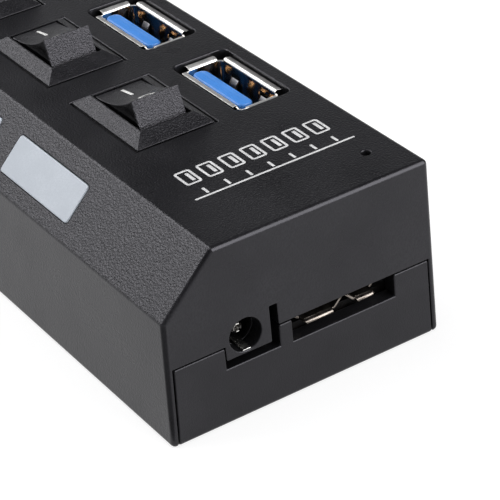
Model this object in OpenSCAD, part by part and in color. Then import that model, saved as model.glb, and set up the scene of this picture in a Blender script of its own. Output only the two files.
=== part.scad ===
// Powered USB hub: a long case with a sloped indicator face, a row of upward-facing
// Type-A sockets and a rocker switch for each of them. Millimetres, +Z up, +X towards
// the end with the micro-B socket and the power jack, -Y towards the sloped face.

/* [Case] */
// Length of the case
case_l = 172; // [170:1:200]
// Width of the case at its underside
case_w = 36.4; // [36:0.1:42]
// Height of the top face above the underside
case_h = 22.4; // [21.5:0.1:26]
// Lean of both long sides, in degrees
side_lean = 2; // [0:0.5:3]
// Height at which the sloped face starts
slope_start = 15.5; // [15:0.1:16.5]
// Distance from the front foot of the case to the top of the slope
slope_depth = 7.45; // [7:0.05:8.2]
// Wall thickness
wall = 2; // [1.6:0.1:2.2]
// Radius of the outer edges
edge_r = 0.6; // [0.3:0.1:0.8]
// Height of the seam between the top shell and the end panels
seam_h = 9.45; // [9.4:0.05:9.8]
// Open gap along the seam
seam_gap = 0.12; // [0.05:0.01:0.2]
// Thickness of the long walls beside the end panels
panel_lip = 0.9; // [0.7:0.05:1.2]

/* [Feet and screws] */
// Diameter of a foot
foot_d = 8; // [6:0.5:10]
// Thickness of a foot
foot_t = 1; // [0.8:0.1:2]
// Depth of the pocket that holds a foot
foot_sink = 0.4; // [0.2:0.1:0.6]
// Distance of a foot's centre from the end of the case
foot_from_end = 12; // [8:1:20]
// Distance of a foot's centre from the long side
foot_from_side = 8; // [7:0.5:10]
// Shank diameter of a cover screw
screw_d = 2.2; // [1.8:0.1:2.4]
// Length of a cover screw under its head
screw_l = 9; // [8:0.5:11]
// Diameter of a screw head
screw_head_d = 4; // [3.4:0.1:4.2]
// Height of a screw head
screw_head_h = 1.5; // [1:0.1:1.8]
// Distance of the screws from the middle of the case
screw_y = 7; // [6.8:0.1:7.2]
// Diameter of the screw bosses
boss_d = 5.2; // [5:0.1:5.4]

/* [Board] */
// Thickness of the circuit board
board_t = 1.6; // [1:0.2:1.6]
// Height of the board's underside above the underside of the case
board_h = 5.4; // [5:0.1:5.5]
// Gap between the board's edge and the walls
board_gap = 0.6; // [0.4:0.1:1]
// Length of the solder tails below the board
tail_l = 0.8; // [0.4:0.1:1.2]

/* [Units] */
// Pitch of the sockets, switches and windows
unit_pitch = 21.2; // [21:0.1:22]
// Distance of the first unit from the connector end
unit_first = 31.45; // [30:0.1:36]
// Least distance of the last unit from the far end
unit_last = 13.3; // [12:0.1:20]

/* [Type-A sockets] */
// Distance of the socket row from the back foot of the case
usb_from_back = 6.35; // [6.2:0.05:6.6]
// Length of the socket opening
usb_open_l = 12.5; // [12:0.1:13]
// Width of the socket opening
usb_open_w = 5.12; // [5:0.02:5.3]
// Thickness of the shell's sheet metal
usb_sheet = 0.3; // [0.2:0.05:0.4]
// Reach of the flared lips
usb_lip = 0.95; // [0.5:0.05:1]
// Rise of the flared lips
usb_lip_rise = 0.25; // [0.1:0.05:0.4]
// Depth of the rim below the top face
usb_rim_drop = 0.4; // [0.2:0.05:0.8]
// Gap between the lips and the hole in the top face
usb_hole_gap = 0.35; // [0.2:0.05:0.5]
// Width of the tongue
tongue_l = 11.1; // [10.6:0.1:11.4]
// Thickness of the tongue
tongue_t = 1.84; // [1.6:0.02:2]
// Gap behind the tongue
tongue_back = 0.55; // [0.4:0.05:0.7]
// Depth of the tongue's tip below the rim
tongue_drop = 0.65; // [0.4:0.05:1.2]
// Height of the insulator block at the foot of the tongue
tongue_block_h = 4.4; // [3:0.1:5]

/* [Switches] */
// Distance between the socket row and the switch row
row_gap = 12.35; // [12:0.05:12.8]
// Length of the bezel
bezel_l = 15.4; // [15.2:0.1:16]
// Width of the bezel
bezel_w = 10.5; // [10.3:0.1:11]
// Height of the bezel above the top face
bezel_h = 1.15; // [0.9:0.05:1.4]
// Depth of the recess that holds the bezel
bezel_sink = 0.5; // [0.3:0.05:0.7]
// Gap round the bezel
bezel_gap = 0.3; // [0.15:0.05:0.4]
// Width of the flat rim on top of the bezel
bezel_rim = 0.2; // [0.1:0.05:0.4]
// Length of the switch housing
housing_l = 14.2; // [14:0.1:14.4]
// Width of the switch housing
housing_w = 9.3; // [9.1:0.1:9.5]
// Wall of the switch housing
housing_wall = 1; // [0.9:0.05:1.05]
// Depth of the switch housing below the top face
housing_depth = 9.8; // [9.6:0.1:10.5]
// Tip of the rocker either way from level, in degrees
rocker_tip = 18; // [14:1:19]
// Length of the rocker across its ridges
rocker_l = 9.5; // [9:0.1:9.8]
// Width of the rocker
rocker_w = 6.4; // [6:0.1:6.6]
// Height of the rocker's ridges above its pivot
rocker_top = 3; // [2.6:0.1:3.2]
// Depth of the dished top of the rocker
rocker_dish = 0.65; // [0.3:0.05:0.9]
// Depth of the pivot below the top face
pivot_drop = 0.35; // [0.2:0.05:0.6]
// Diameter of the rocker's pivot stubs
pivot_d = 2; // [1.6:0.1:2.2]
// Diameter of the plunger
plunger_d = 1.7; // [1.4:0.1:1.9]
// Reach of the plunger's tip below the pivot
plunger_reach = 6; // [5.6:0.1:6.2]
// Tip of the contact lever either way from level, in degrees
lever_tip = 9; // [6:1:10]
// Thickness of the contact lever and of the terminals
lever_t = 0.4; // [0.3:0.05:0.5]
// Width of the contact lever
lever_w = 3; // [2:0.1:4]
// Length of each arm of the contact lever
lever_arm = 4.2; // [3.8:0.1:4.4]

/* [Indicator windows] */
// Length of a window
window_l = 16.2; // [14:0.1:16.8]
// Width of a window, up the slope
window_w = 4.95; // [4:0.05:5.2]
// Distance of a window's middle from the foot of the slope
window_rise = 4.6; // [4.4:0.05:4.8]
// Radius of a window's corners
window_r = 0.5; // [0.2:0.1:1]
// Gap round a window
window_gap = 0.1; // [0.05:0.01:0.2]
// Thickness of the flange behind a window
window_flange = 0.8; // [0.5:0.1:1]
// Diameter of the pinhole above the power lamp
pinhole_d = 1.2; // [0.8:0.1:1.6]

/* [Micro-B socket] */
// Distance of the socket from the back foot of the case
micro_from_back = 12.8; // [12.6:0.1:13]
// Width of the socket's opening
micro_open_w = 12.25; // [12:0.05:12.4]
// Height of the socket's opening
micro_open_h = 1.85; // [1.75:0.05:1.9]
// Width of the wider half of the opening
micro_wide = 6.5; // [6.3:0.1:6.8]
// Width of the web between the halves
micro_web = 0.7; // [0.6:0.05:0.8]
// Size of the opening's cut corners
micro_chamfer = 1.3; // [1:0.05:1.35]
// Thickness of the socket's sheet metal
micro_sheet = 0.25; // [0.2:0.05:0.3]
// Depth of the socket, front to back
micro_depth = 6.5; // [5:0.1:8]
// Height of the socket's sheet metal above the board
micro_stand = 0.35; // [0.2:0.05:0.4]
// Gap between the socket and its notch, at each side
micro_gap = 0.6; // [0.3:0.05:0.8]
// Depth of the socket's mouth behind the end face
micro_recess = 0.8; // [0.4:0.1:1.2]

/* [Power jack] */
// Distance of the jack from the front foot of the case
jack_from_front = 10.6; // [10.4:0.1:10.8]
// Height of the jack's bore above the underside of the case
jack_h = 10.1; // [10:0.05:10.2]
// Width of the jack and of the tab of the case in front of it
jack_w = 6; // [5.6:0.1:6.2]
// Height of the jack, and of the tab about its bore
jack_face_h = 4.85; // [4.7:0.05:5]
// Length of the jack behind the end wall
jack_l = 6; // [5.5:0.5:8]
// Bore of the jack and of the tab
jack_bore = 4.15; // [3.9:0.05:4.2]
// Depth of the bore behind the end wall
jack_bore_depth = 4.5; // [4:0.25:4.75]
// Diameter of the centre pin
jack_pin_d = 1.65; // [1.3:0.05:1.8]
// Depth of the pin's tip behind the end face
jack_pin_drop = 1.7; // [1.2:0.1:2.5]
// Open gap beside and below the tab
jack_slot = 1; // [0.6:0.05:1.1]
// Close gap between the tab and the end panel, and behind the end wall
jack_fit = 0.1; // [0.05:0.01:0.15]

/* [Hidden] */
$fn = 48;
eps = 0.01;
end_x = case_l / 2;
side_y = case_w / 2;
lean = tan(side_lean);
lift = foot_t - foot_sink;
board_top = board_h + board_t;
board_l = case_l - 2 * (wall + board_gap);
board_w = case_w - 2 * (wall + board_gap + board_top * lean);
fit_gap = 0.1;
tail_gap = 0.15;

// Outline of the case across its length, counterclockwise in Y and Z, with its foot at a given height
slope_top_y = slope_depth - side_y;
slope_foot_y = slope_start * lean - side_y;
slope_l = norm([slope_top_y - slope_foot_y, case_h - slope_start]);
slope_angle = atan2(case_h - slope_start, slope_top_y - slope_foot_y);
function case_outline(foot) = [
    [foot * lean - side_y, foot],
    [side_y - foot * lean, foot],
    [side_y - case_h * lean, case_h],
    [slope_top_y, case_h],
    [slope_foot_y, slope_start]
];

// Outline with every edge of a convex polygon moved inwards
function edge_angle(p, i) = let (n = len(p), a = p[i % n], b = p[(i + 1) % n]) atan2(b.y - a.y, b.x - a.x);
function turn_at(p, i) =
    let (n = len(p), t = edge_angle(p, i) - edge_angle(p, i + n - 1))
    t < 0 ? t + 360 : t;
function inset_corner(p, i, d) =
    let (n = len(p), half = turn_at(p, i) / 2, a = edge_angle(p, i + n - 1) + half + 90)
    p[i] + d / cos(half) * [cos(a), sin(a)];
function inset(p, d) = [for (i = [0:len(p) - 1]) inset_corner(p, i, d)];

// Round convex outline: arcs of radius arc_r about the corners of the outline inset by edge_r
arc_steps = 5;
function rounded(p, arc_r) = [
    for (i = [0:len(p) - 1])
        for (k = [0:arc_steps])
            let (a = edge_angle(p, i + len(p) - 1) - 90 + turn_at(p, i) * k / arc_steps)
            inset_corner(p, i, edge_r) + arc_r * [cos(a), sin(a)]
];

// Places of the units, feet and screws: as many units as the length takes
unit_count = floor((case_l - unit_first - unit_last) / unit_pitch) + 1;
function unit_x(i) = end_x - unit_first - (i - 1) * unit_pitch;
function between_x(i) = unit_x(i) - unit_pitch / 2;
foot_x = end_x - foot_from_end;
foot_y = side_y - foot_from_side;
foot_spots = [for (sx = [-1, 1], sy = [-1, 1]) [sx * foot_x, sy * foot_y]];
screw_spots = [for (i = [1, unit_count - 1], sy = [-1, 1]) [between_x(i), sy * screw_y]];
screw_sink = 1.1;
screw_seat_h = screw_head_h + screw_sink;
screw_play = 0.02;
screw_slot = [0.6 * screw_head_d, 0.6, 0.8];
pilot_spare = 1;
pilot_depth = screw_l - (board_top - screw_seat_h) + pilot_spare;
hole_play = 0.5;
cover_boss_d = boss_d + 0.8;

// Type-A socket
usb_y = side_y - usb_from_back;
usb_rim = case_h - usb_rim_drop;
usb_hole_l = usb_open_l + 2 * (usb_lip + usb_hole_gap);
usb_hole_w = usb_open_w + 2 * (usb_lip + usb_hole_gap);
usb_hole_r = 0.9;
usb_corner_cut = 0.5;
usb_lip_l = usb_open_l - 2 * usb_corner_cut;
usb_lip_w = usb_open_w - 2 * usb_corner_cut;
usb_leg_w = 2;
usb_leg_x = usb_open_l / 2 - usb_leg_w;
tongue_y = usb_y - usb_open_w / 2 + tongue_back;
tongue_tip = usb_rim - tongue_drop;
tongue_chamfer = 0.45;
contact_t = 0.2;
contact_w = 0.9;
contact_bow = 0.8;
contact_xs = [-3.5, -1, 1, 3.5];
pad_w = 0.7;
pad_l = 2.2;
pad_xs = [-4, -2, 0, 2, 4];
tip_margin = 0.7;

// Switch
switch_y = usb_y - row_gap;
pivot_z = case_h - pivot_drop;
housing_floor = case_h - housing_depth;
cavity_l = housing_l - 2 * housing_wall;
cavity_w = housing_w - 2 * housing_wall;
pivot_play = 0.04;
pivot_pocket = 0.45;
pivot_stub = 0.35;
mouth_clear = 0.25;
mouth_l = rocker_l * cos(rocker_tip) + 2 * (rocker_top * sin(rocker_tip) + mouth_clear);
mouth_w = rocker_w + 2 * mouth_clear;
rocker_foot = 1.6;
rocker_flare = 0.25;
rocker_shoulder = 0.9;
post_d = 3.4;
post_l = 2.8;
plunger_play = 0.1;
plunger_back = 2.6;
bore_end = 0.6;
spring_wall = 0.25;
spring_gap = 0.05;
lever_clear = 0.12;
lever_z = pivot_z - plunger_reach - lever_clear;
rib_d = 0.9;
rib_cover = 0.05;
rib_drop = rib_d / 2 + rib_cover;
rivet_d = 1.6;
rivet_h = 0.5;
contact_clear = 0.09;
stop_clear = 0.25;
clip_w = 4;
clip_h = 2;
clip_reach = 0.45;
terminal_w = 2;
terminal_x = lever_arm - rivet_d / 2;

// Windows, in a frame that lies on the slope: X along the case, Y up the slope, Z out of the face
window_ledge = 0.8;
led_size = [3.5, 2.8, 1.9];
led_y = slope_foot_y + wall + led_size.y;
pinhole_inset = [5.9, 4.6];
pinhole_spot = [end_x - pinhole_inset.x, side_y - pinhole_inset.y];
power_led_d = 3;
power_led_h = 4;

// Micro-B socket
micro_y = side_y - micro_from_back;
micro_x = end_x - micro_recess;
micro_floor = board_top + micro_stand + micro_sheet;
micro_notch_w = micro_open_w + 2 * (micro_sheet + micro_gap);
micro_notch_drop = 0.45;
micro_notch_floor = board_top - micro_notch_drop;
micro_web_drop = 0.25;
micro_roof_gap = 0.15;
micro_leg = [2, 3];
micro_tongue_t = 0.6;
micro_tongue_rise = 0.75;
micro_tongue_z = micro_floor + micro_tongue_rise;
micro_side = [1.3, 1];
micro_tip_drop = 1;
micro_block_l = 2.4;
micro_contact = [0.12, 0.35];
micro_contact_drop = 0.15;

// Power jack, at jack_y in front of the middle
jack_y = side_y - jack_from_front;
jack_top = jack_h + jack_face_h / 2;
jack_low = jack_top - jack_face_h;
jack_face_x = end_x - wall - jack_fit;
jack_bore_end = jack_face_x - jack_bore_depth;
jack_root_d = jack_pin_d + 0.6;
jack_spring_drop = 0.5;
jack_front_l = 1;
jack_spring_t = 0.2;
jack_spring_w = 1.6;

// Parts on the board
chip_size = [7, 7, 1];
chip_from_edge = 6.35;
chip_y = chip_from_edge - board_w / 2;
can_d = 5;
can_h = 5.5;
can_y = 1.5;
can_from_jack = 6;
can_near_jack_x = end_x - wall - jack_l - can_from_jack;

UNIT_NODES = [
    "usb_shell", "usb_tongue", "switch_body", "rocker", "plunger", "contact_lever"
];

case_black = [0.13, 0.13, 0.14];
switch_black = [0.09, 0.09, 0.1];
socket_blue = [0.14, 0.45, 0.9];
plated = [0.8, 0.8, 0.82];
gold = [0.83, 0.66, 0.3];
pale = [0.8, 0.84, 0.88];

// Everything is drawn from the underside of the case and then raised onto the feet
module lifted() {
    translate([0, 0, lift]) children();
}

// A shape drawn in Y and Z, stretched along X
module along_x(from, to) {
    translate([from, 0, 0]) rotate([90, 0, 90]) linear_extrude(to - from) children();
}

// A shape drawn in X and Z, stretched along Y about a middle
module along_y(middle, width) {
    translate([0, middle + width / 2, 0]) rotate([90, 0, 0]) linear_extrude(width) children();
}

module box(size, at) {
    translate(at) translate([-size.x / 2, -size.y / 2, 0]) cube(size);
}

module rounded_rectangle(l, w, r) {
    square([l - 2 * r, w], center = true);
    square([l, w - 2 * r], center = true);
    for (sx = [-1, 1], sy = [-1, 1]) translate([sx * (l / 2 - r), sy * (w / 2 - r)]) circle(r);
}

module each_unit() {
    for (i = [1:unit_count]) translate([unit_x(i), 0, 0]) children();
}

// The window frame on the sloped face
module on_slope() {
    translate([0, slope_foot_y, slope_start])
        rotate([slope_angle, 0, 0])
            translate([0, window_rise, 0]) children();
}

// Outer form of the closed case, with every outer edge rounded
module case_body() {
    hull()
        for (sx = [-1, 1], k = [0:arc_steps])
            let (a = 90 * k / arc_steps, x = end_x - edge_r + edge_r * sin(a))
            along_x(min(sx * x, sx * (x - eps)), max(sx * x, sx * (x - eps)))
                polygon(rounded(case_outline(0), max(edge_r * cos(a), eps)));
}

// Outline of the lower half of an end wall, grown by a gap
module panel_outline(gap) {
    foot = side_y - panel_lip + gap;
    top = seam_h - seam_gap / 2 + gap;
    polygon([[-foot, -1], [foot, -1], [foot - (top + 1) * lean, top], [-foot + (top + 1) * lean, top]]);
}

// Tab of the case top that comes down in front of the power jack
module jack_tab() {
    translate([end_x - wall, -jack_y - jack_w / 2, jack_low]) cube([wall, jack_w, seam_h - jack_low + 1]);
}

// Open slot beside the tab, from below it to its top
module jack_side_slot() {
    translate([end_x - wall - 1, jack_w / 2 - jack_y, jack_low - jack_slot])
        cube([wall + 2, jack_slot, jack_face_h + jack_slot]);
}

// Space of the tab in the end panel: close on one side, open below and on the other side
module jack_space() {
    translate([end_x - wall - 1, -jack_y - jack_w / 2 - jack_fit, jack_low - jack_slot])
        cube([wall + 2, jack_w + jack_fit + jack_slot, jack_face_h + jack_slot]);
}

module jack_bore_hole(from, to) {
    translate([from, -jack_y, jack_h]) rotate([0, 90, 0]) cylinder(d = jack_bore, h = to - from);
}

// Space of the micro-B socket in the end panel
module micro_space() {
    translate([end_x - wall - 1, micro_y - micro_notch_w / 2, micro_notch_floor])
        cube([wall + 2, micro_notch_w, seam_h - micro_notch_floor + seam_gap]);
}

// Space above the socket's sheet metal, behind the end face
module micro_roof_space() {
    roof = micro_floor + micro_open_h + micro_sheet + micro_roof_gap;
    translate([end_x - wall - 1, micro_y - micro_notch_w / 2, seam_h - 1])
        cube([wall + 1 + micro_roof_gap - micro_recess, micro_notch_w, roof - seam_h + 1]);
}

module top_shell() {
    color(case_black) lifted() difference() {
        union() {
            difference() {
                case_body();
                along_x(wall - end_x, end_x - wall) polygon(inset(case_outline(-wall - 1), wall));
                for (sx = [-1, 1])
                    along_x(
                        sx > 0 ? end_x - wall - seam_gap : -end_x - 1,
                        sx > 0 ? end_x + 1 : -end_x + wall + seam_gap
                    ) panel_outline(seam_gap);
            }
            jack_tab();
            for (s = screw_spots)
                translate([s.x, s.y, board_top]) cylinder(d = boss_d, h = case_h - wall - board_top + eps);
        }
        for (s = screw_spots) translate([s.x, s.y, board_top - 1]) cylinder(d = screw_d, h = pilot_depth + 1);
        each_unit() {
            translate([0, usb_y, case_h - wall - 1])
                linear_extrude(wall + 2) rounded_rectangle(usb_hole_l, usb_hole_w, usb_hole_r);
            box(
                [housing_l + 2 * fit_gap, housing_w + 2 * fit_gap, wall + 2],
                [0, switch_y, case_h - wall - 1]
            );
            box([bezel_l + 2 * bezel_gap, bezel_w + 2 * bezel_gap, 2], [0, switch_y, case_h - bezel_sink]);
            on_slope() translate([0, 0, -wall - 1]) linear_extrude(wall + 2)
                rounded_rectangle(
                    window_l + 2 * window_gap, window_w + 2 * window_gap, window_r + window_gap
                );
        }
        translate([pinhole_spot.x, pinhole_spot.y, case_h - wall - 1]) cylinder(d = pinhole_d, h = wall + 2);
        jack_side_slot();
        jack_bore_hole(end_x - wall - 1, end_x + 1);
        micro_roof_space();
    }
}

module bottom_cover() {
    color(case_black) lifted() difference() {
        union() {
            intersection() {
                case_body();
                union() {
                    for (sx = [-1, 1])
                        along_x(sx > 0 ? end_x - wall : -end_x - 1, sx > 0 ? end_x + 1 : wall - end_x)
                            panel_outline(0);
                    intersection() {
                        along_x(-end_x, end_x)
                            polygon(inset(case_outline(-wall - seam_gap - 1), wall + seam_gap));
                        translate([-end_x, -side_y, -1]) cube([case_l, case_w, wall + 1]);
                    }
                }
            }
            for (s = screw_spots)
                translate([s.x, s.y, wall - eps]) cylinder(d = cover_boss_d, h = board_h - wall + eps);
        }
        for (s = screw_spots) translate([s.x, s.y, -1]) {
            cylinder(d = screw_d + hole_play, h = board_h + 2);
            cylinder(d = screw_head_d + hole_play, h = screw_seat_h + 1);
        }
        for (s = foot_spots) translate([s.x, s.y, -1]) cylinder(d = foot_d, h = foot_sink + 1);
        jack_space();
        micro_space();
    }
}

module cover_screws() {
    color(plated) lifted() for (s = screw_spots) translate([s.x, s.y, screw_seat_h]) difference() {
        union() {
            translate([0, 0, -screw_head_h]) cylinder(d = screw_head_d, h = screw_head_h);
            cylinder(d = screw_d - 2 * screw_play, h = screw_l);
        }
        for (a = [0, 90]) rotate(a) box(screw_slot, [0, 0, -screw_head_h - eps]);
    }
}

module rubber_feet() {
    color([0.06, 0.06, 0.06]) for (s = foot_spots) translate([s.x, s.y, 0]) cylinder(d = foot_d, h = foot_t);
}

// Slots for the solder tails of one unit, through the board
module unit_tail_slots() {
    for (sx = [-1, 1], sy = [-1, 1])
        box(
            [usb_leg_w + 2 * tail_gap, usb_sheet + 2 * tail_gap, board_t + 2],
            [sx * usb_leg_x, usb_y + sy * (usb_open_w + usb_sheet) / 2, board_h - 1]
        );
    for (x = [0, terminal_x])
        box([lever_t + 2 * tail_gap, terminal_w + 2 * tail_gap, board_t + 2], [x, switch_y, board_h - 1]);
}

module main_pcb() {
    color([0.05, 0.32, 0.16]) lifted() difference() {
        box([board_l, board_w, board_t], [0, 0, board_h]);
        for (s = screw_spots)
            translate([s.x, s.y, board_h - 1]) cylinder(d = screw_d + hole_play, h = board_t + 2);
        each_unit() unit_tail_slots();
    }
}

module hub_chips() {
    color([0.12, 0.12, 0.12]) lifted()
        for (i = [2, 4]) box(chip_size, [between_x(i), chip_y, board_top]);
}

module capacitors() {
    spots = concat(
        [for (i = [1:unit_count - 1]) [between_x(i), can_y]],
        [for (sy = [-1, 1]) [can_near_jack_x, sy * jack_y]]
    );
    color([0.7, 0.7, 0.72]) lifted()
        for (s = spots) translate([s.x, s.y, board_top]) cylinder(d = can_d, h = can_h);
}

// Flared lip along one side of the socket's rim: drawn outwards from the inner face of the wall
module usb_lip_strip(length) {
    rotate([90, 0, 90]) translate([0, 0, -length / 2]) linear_extrude(length) polygon([
        [0, -usb_lip_rise],
        [usb_lip, 0],
        [usb_lip, -usb_sheet],
        [usb_sheet, -usb_lip_rise - usb_sheet],
        [0, -usb_lip_rise - usb_sheet]
    ]);
}

module usb_shell(i) {
    rim = usb_rim - usb_lip_rise;
    color(plated) lifted() translate([unit_x(i), usb_y, 0]) {
        difference() {
            box([usb_open_l + 2 * usb_sheet, usb_open_w + 2 * usb_sheet, rim - board_top], [0, 0, board_top]);
            box([usb_open_l, usb_open_w, rim - board_top + 2], [0, 0, board_top - 1]);
        }
        for (side = [0, 180]) rotate(side) {
            translate([0, usb_open_w / 2, usb_rim]) usb_lip_strip(usb_lip_l);
            rotate(-90) translate([0, usb_open_l / 2, usb_rim]) usb_lip_strip(usb_lip_w);
            for (sx = [-1, 1])
                box(
                    [usb_leg_w, usb_sheet, board_t + tail_l + eps],
                    [sx * usb_leg_x, (usb_open_w + usb_sheet) / 2, board_h - tail_l]
                );
        }
    }
}

module usb_tongue(i) {
    half = tongue_l / 2;
    color(socket_blue) lifted() translate([unit_x(i), 0, 0]) {
        box([usb_open_l - 2 * fit_gap, usb_open_w - 2 * fit_gap, tongue_block_h], [0, usb_y, board_top]);
        translate([0, tongue_y, board_top]) linear_extrude(tongue_tip - board_top) polygon([
            [-half, 0],
            [half, 0],
            [half, tongue_t - tongue_chamfer],
            [half - tongue_chamfer, tongue_t],
            [tongue_chamfer - half, tongue_t],
            [-half, tongue_t - tongue_chamfer]
        ]);
    }
}

// Nine contacts on the open face of each tongue: four long springs and five short pads at the tip
module usb_contacts() {
    foot = board_top + tongue_block_h;
    face = tongue_y + tongue_t;
    pad_foot = tongue_tip - tip_margin - pad_l;
    spring_l = pad_foot - foot - tip_margin;
    color(gold) lifted() each_unit() {
        for (x = contact_xs)
            translate([x + contact_w / 2, face, foot]) rotate([90, 0, -90])
                linear_extrude(contact_w) polygon([
                    [0, 0],
                    [-contact_t, 0],
                    [-contact_t, spring_l / 2],
                    [-contact_bow, spring_l * 3 / 4],
                    [-contact_t, spring_l],
                    [0, spring_l]
                ]);
        for (x = pad_xs) box([pad_w, contact_t, pad_l], [x, face + contact_t / 2, pad_foot]);
    }
}

// Bezel frustum: two trapezoid bars crossed, so that the corners are mitred
module bezel_form() {
    rim_l = mouth_l + 2 * bezel_rim;
    rim_w = mouth_w + 2 * bezel_rim;
    translate([0, switch_y, case_h]) intersection() {
        along_y(0, bezel_w) polygon([
            [-bezel_l / 2, -bezel_sink],
            [bezel_l / 2, -bezel_sink],
            [bezel_l / 2, 0],
            [rim_l / 2, bezel_h],
            [-rim_l / 2, bezel_h],
            [-bezel_l / 2, 0]
        ]);
        along_x(-bezel_l / 2, bezel_l / 2) polygon([
            [-bezel_w / 2, -bezel_sink],
            [bezel_w / 2, -bezel_sink],
            [bezel_w / 2, 0],
            [rim_w / 2, bezel_h],
            [-rim_w / 2, bezel_h],
            [-bezel_w / 2, 0]
        ]);
    }
}

module switch_body(i) {
    floor_top = housing_floor + housing_wall;
    clip_top = case_h - wall - fit_gap;
    color(switch_black) lifted() translate([unit_x(i), 0, 0]) difference() {
        union() {
            difference() {
                union() {
                    bezel_form();
                    box(
                        [housing_l, housing_w, housing_depth - bezel_sink + eps],
                        [0, switch_y, housing_floor]
                    );
                }
                box([cavity_l, cavity_w, case_h - bezel_sink - floor_top], [0, switch_y, floor_top]);
                box([mouth_l, mouth_w, housing_depth + bezel_h + 1], [0, switch_y, floor_top]);
            }
            box(
                [rivet_d, lever_w, lever_z - lever_t - stop_clear - floor_top + eps],
                [-terminal_x, switch_y, floor_top - eps]
            );
            for (side = [0, 180]) translate([0, switch_y, 0]) rotate(side) along_y(0, clip_w) polygon([
                [housing_l / 2 - eps, clip_top],
                [housing_l / 2 + clip_reach, clip_top],
                [housing_l / 2, clip_top - clip_h],
                [housing_l / 2 - eps, clip_top - clip_h]
            ]);
        }
        for (x = [0, terminal_x])
            box(
                [lever_t + 2 * fit_gap, terminal_w + 2 * fit_gap, housing_wall + 2],
                [x, switch_y, housing_floor - 1]
            );
        translate([0, switch_y + cavity_w / 2 + pivot_pocket, pivot_z]) rotate([90, 0, 0])
            cylinder(d = pivot_d + 2 * pivot_play, h = cavity_w + 2 * pivot_pocket);
    }
}

// The rocker's own frame: pivot at the origin, tipped as it lies with the switch on
module on_rocker(i) {
    translate([unit_x(i), switch_y, pivot_z]) rotate([0, -rocker_tip, 0]) children();
}

module rocker(i) {
    half = rocker_l / 2;
    foot_half = half + rocker_flare;
    dish_r = (half * half + rocker_dish * rocker_dish) / (2 * rocker_dish);
    stub_l = cavity_w + 2 * pivot_stub;
    color(switch_black) lifted() on_rocker(i) difference() {
        union() {
            difference() {
                along_y(0, rocker_w) polygon([
                    [-foot_half + rocker_shoulder, -rocker_foot],
                    [foot_half - rocker_shoulder, -rocker_foot],
                    [foot_half, rocker_shoulder - rocker_foot],
                    [half, rocker_top],
                    [-half, rocker_top],
                    [-foot_half, rocker_shoulder - rocker_foot]
                ]);
                translate([0, rocker_w, rocker_top - rocker_dish + dish_r]) rotate([90, 0, 0])
                    cylinder(r = dish_r, h = 2 * rocker_w, $fn = 96);
            }
            translate([0, 0, -rocker_foot - post_l]) cylinder(d = post_d, h = post_l + eps);
            translate([0, stub_l / 2, 0]) rotate([90, 0, 0]) cylinder(d = pivot_d, h = stub_l);
        }
        translate([0, 0, -rocker_foot - post_l - 1])
            cylinder(d = plunger_d + 2 * plunger_play, h = rocker_foot + post_l + 1 - bore_end);
    }
}

// Plunger with a round nose, and the spring behind it as a plain sleeve
module plunger(i) {
    nose = plunger_d / 2;
    spring_l = plunger_back - spring_gap - bore_end;
    color([0.85, 0.83, 0.75]) lifted() on_rocker(i) {
        translate([0, 0, nose - plunger_reach]) {
            cylinder(d = plunger_d, h = plunger_reach - nose - plunger_back);
            sphere(nose);
        }
        translate([0, 0, spring_gap - plunger_back]) difference() {
            cylinder(d = plunger_d, h = spring_l);
            translate([0, 0, -1]) cylinder(d = plunger_d - 2 * spring_wall, h = spring_l + 2);
        }
    }
}

// See-saw lever: two arms that rise from a round rib, on which it tips onto its live contact
module contact_lever(i) {
    arm_rise = lever_arm * sin(lever_tip);
    arm_x = lever_arm * cos(lever_tip);
    color([0.72, 0.45, 0.25]) lifted()
        translate([unit_x(i), switch_y, lever_z - rib_drop]) rotate([0, lever_tip, 0]) {
            translate([0, lever_w / 2, 0]) rotate([90, 0, 0]) cylinder(d = rib_d, h = lever_w);
            translate([0, 0, rib_drop]) {
                along_y(0, lever_w) polygon([
                    [-arm_x, arm_rise],
                    [0, 0],
                    [arm_x, arm_rise],
                    [arm_x, arm_rise - lever_t],
                    [0, -lever_t],
                    [-arm_x, arm_rise - lever_t]
                ]);
                rotate([0, -lever_tip, 0]) translate([terminal_x, 0, -lever_t - rivet_h])
                    cylinder(d = rivet_d, h = rivet_h + lever_t / 2);
            }
        }
}

// Terminals of every switch: the middle one carries the lever, the other one holds the fixed contact
module switch_terminals() {
    tail = board_h - tail_l;
    live_top = lever_z - lever_t - rivet_h - contact_clear;
    heights = [[0, lever_z - rib_drop - rib_d / 2 - contact_clear], [terminal_x, live_top]];
    color([0.75, 0.6, 0.3]) lifted() each_unit() {
        for (t = heights) box([lever_t, terminal_w, t[1] - tail], [t[0], switch_y, tail]);
        box([rivet_d, terminal_w, lever_t], [terminal_x, switch_y, live_top - lever_t]);
    }
}

// Window inserts: flush with the slope, with a flange against the inside of the wall
module led_windows() {
    flange_l = window_l + 2 * window_ledge;
    flange_w = window_w + 2 * window_ledge;
    color(pale) lifted() each_unit() on_slope() {
        translate([0, 0, -wall - eps])
            linear_extrude(wall + eps) rounded_rectangle(window_l, window_w, window_r);
        box([flange_l, flange_w, window_flange], [0, 0, -wall - window_flange]);
    }
}

module port_leds() {
    color("white") lifted() each_unit() box(led_size, [0, led_y, board_top]);
}

module power_led() {
    r = power_led_d / 2;
    color("lightblue") lifted() translate([pinhole_spot.x, pinhole_spot.y, board_top]) {
        cylinder(r = r, h = power_led_h - r);
        translate([0, 0, power_led_h - r]) sphere(r);
    }
}

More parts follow.
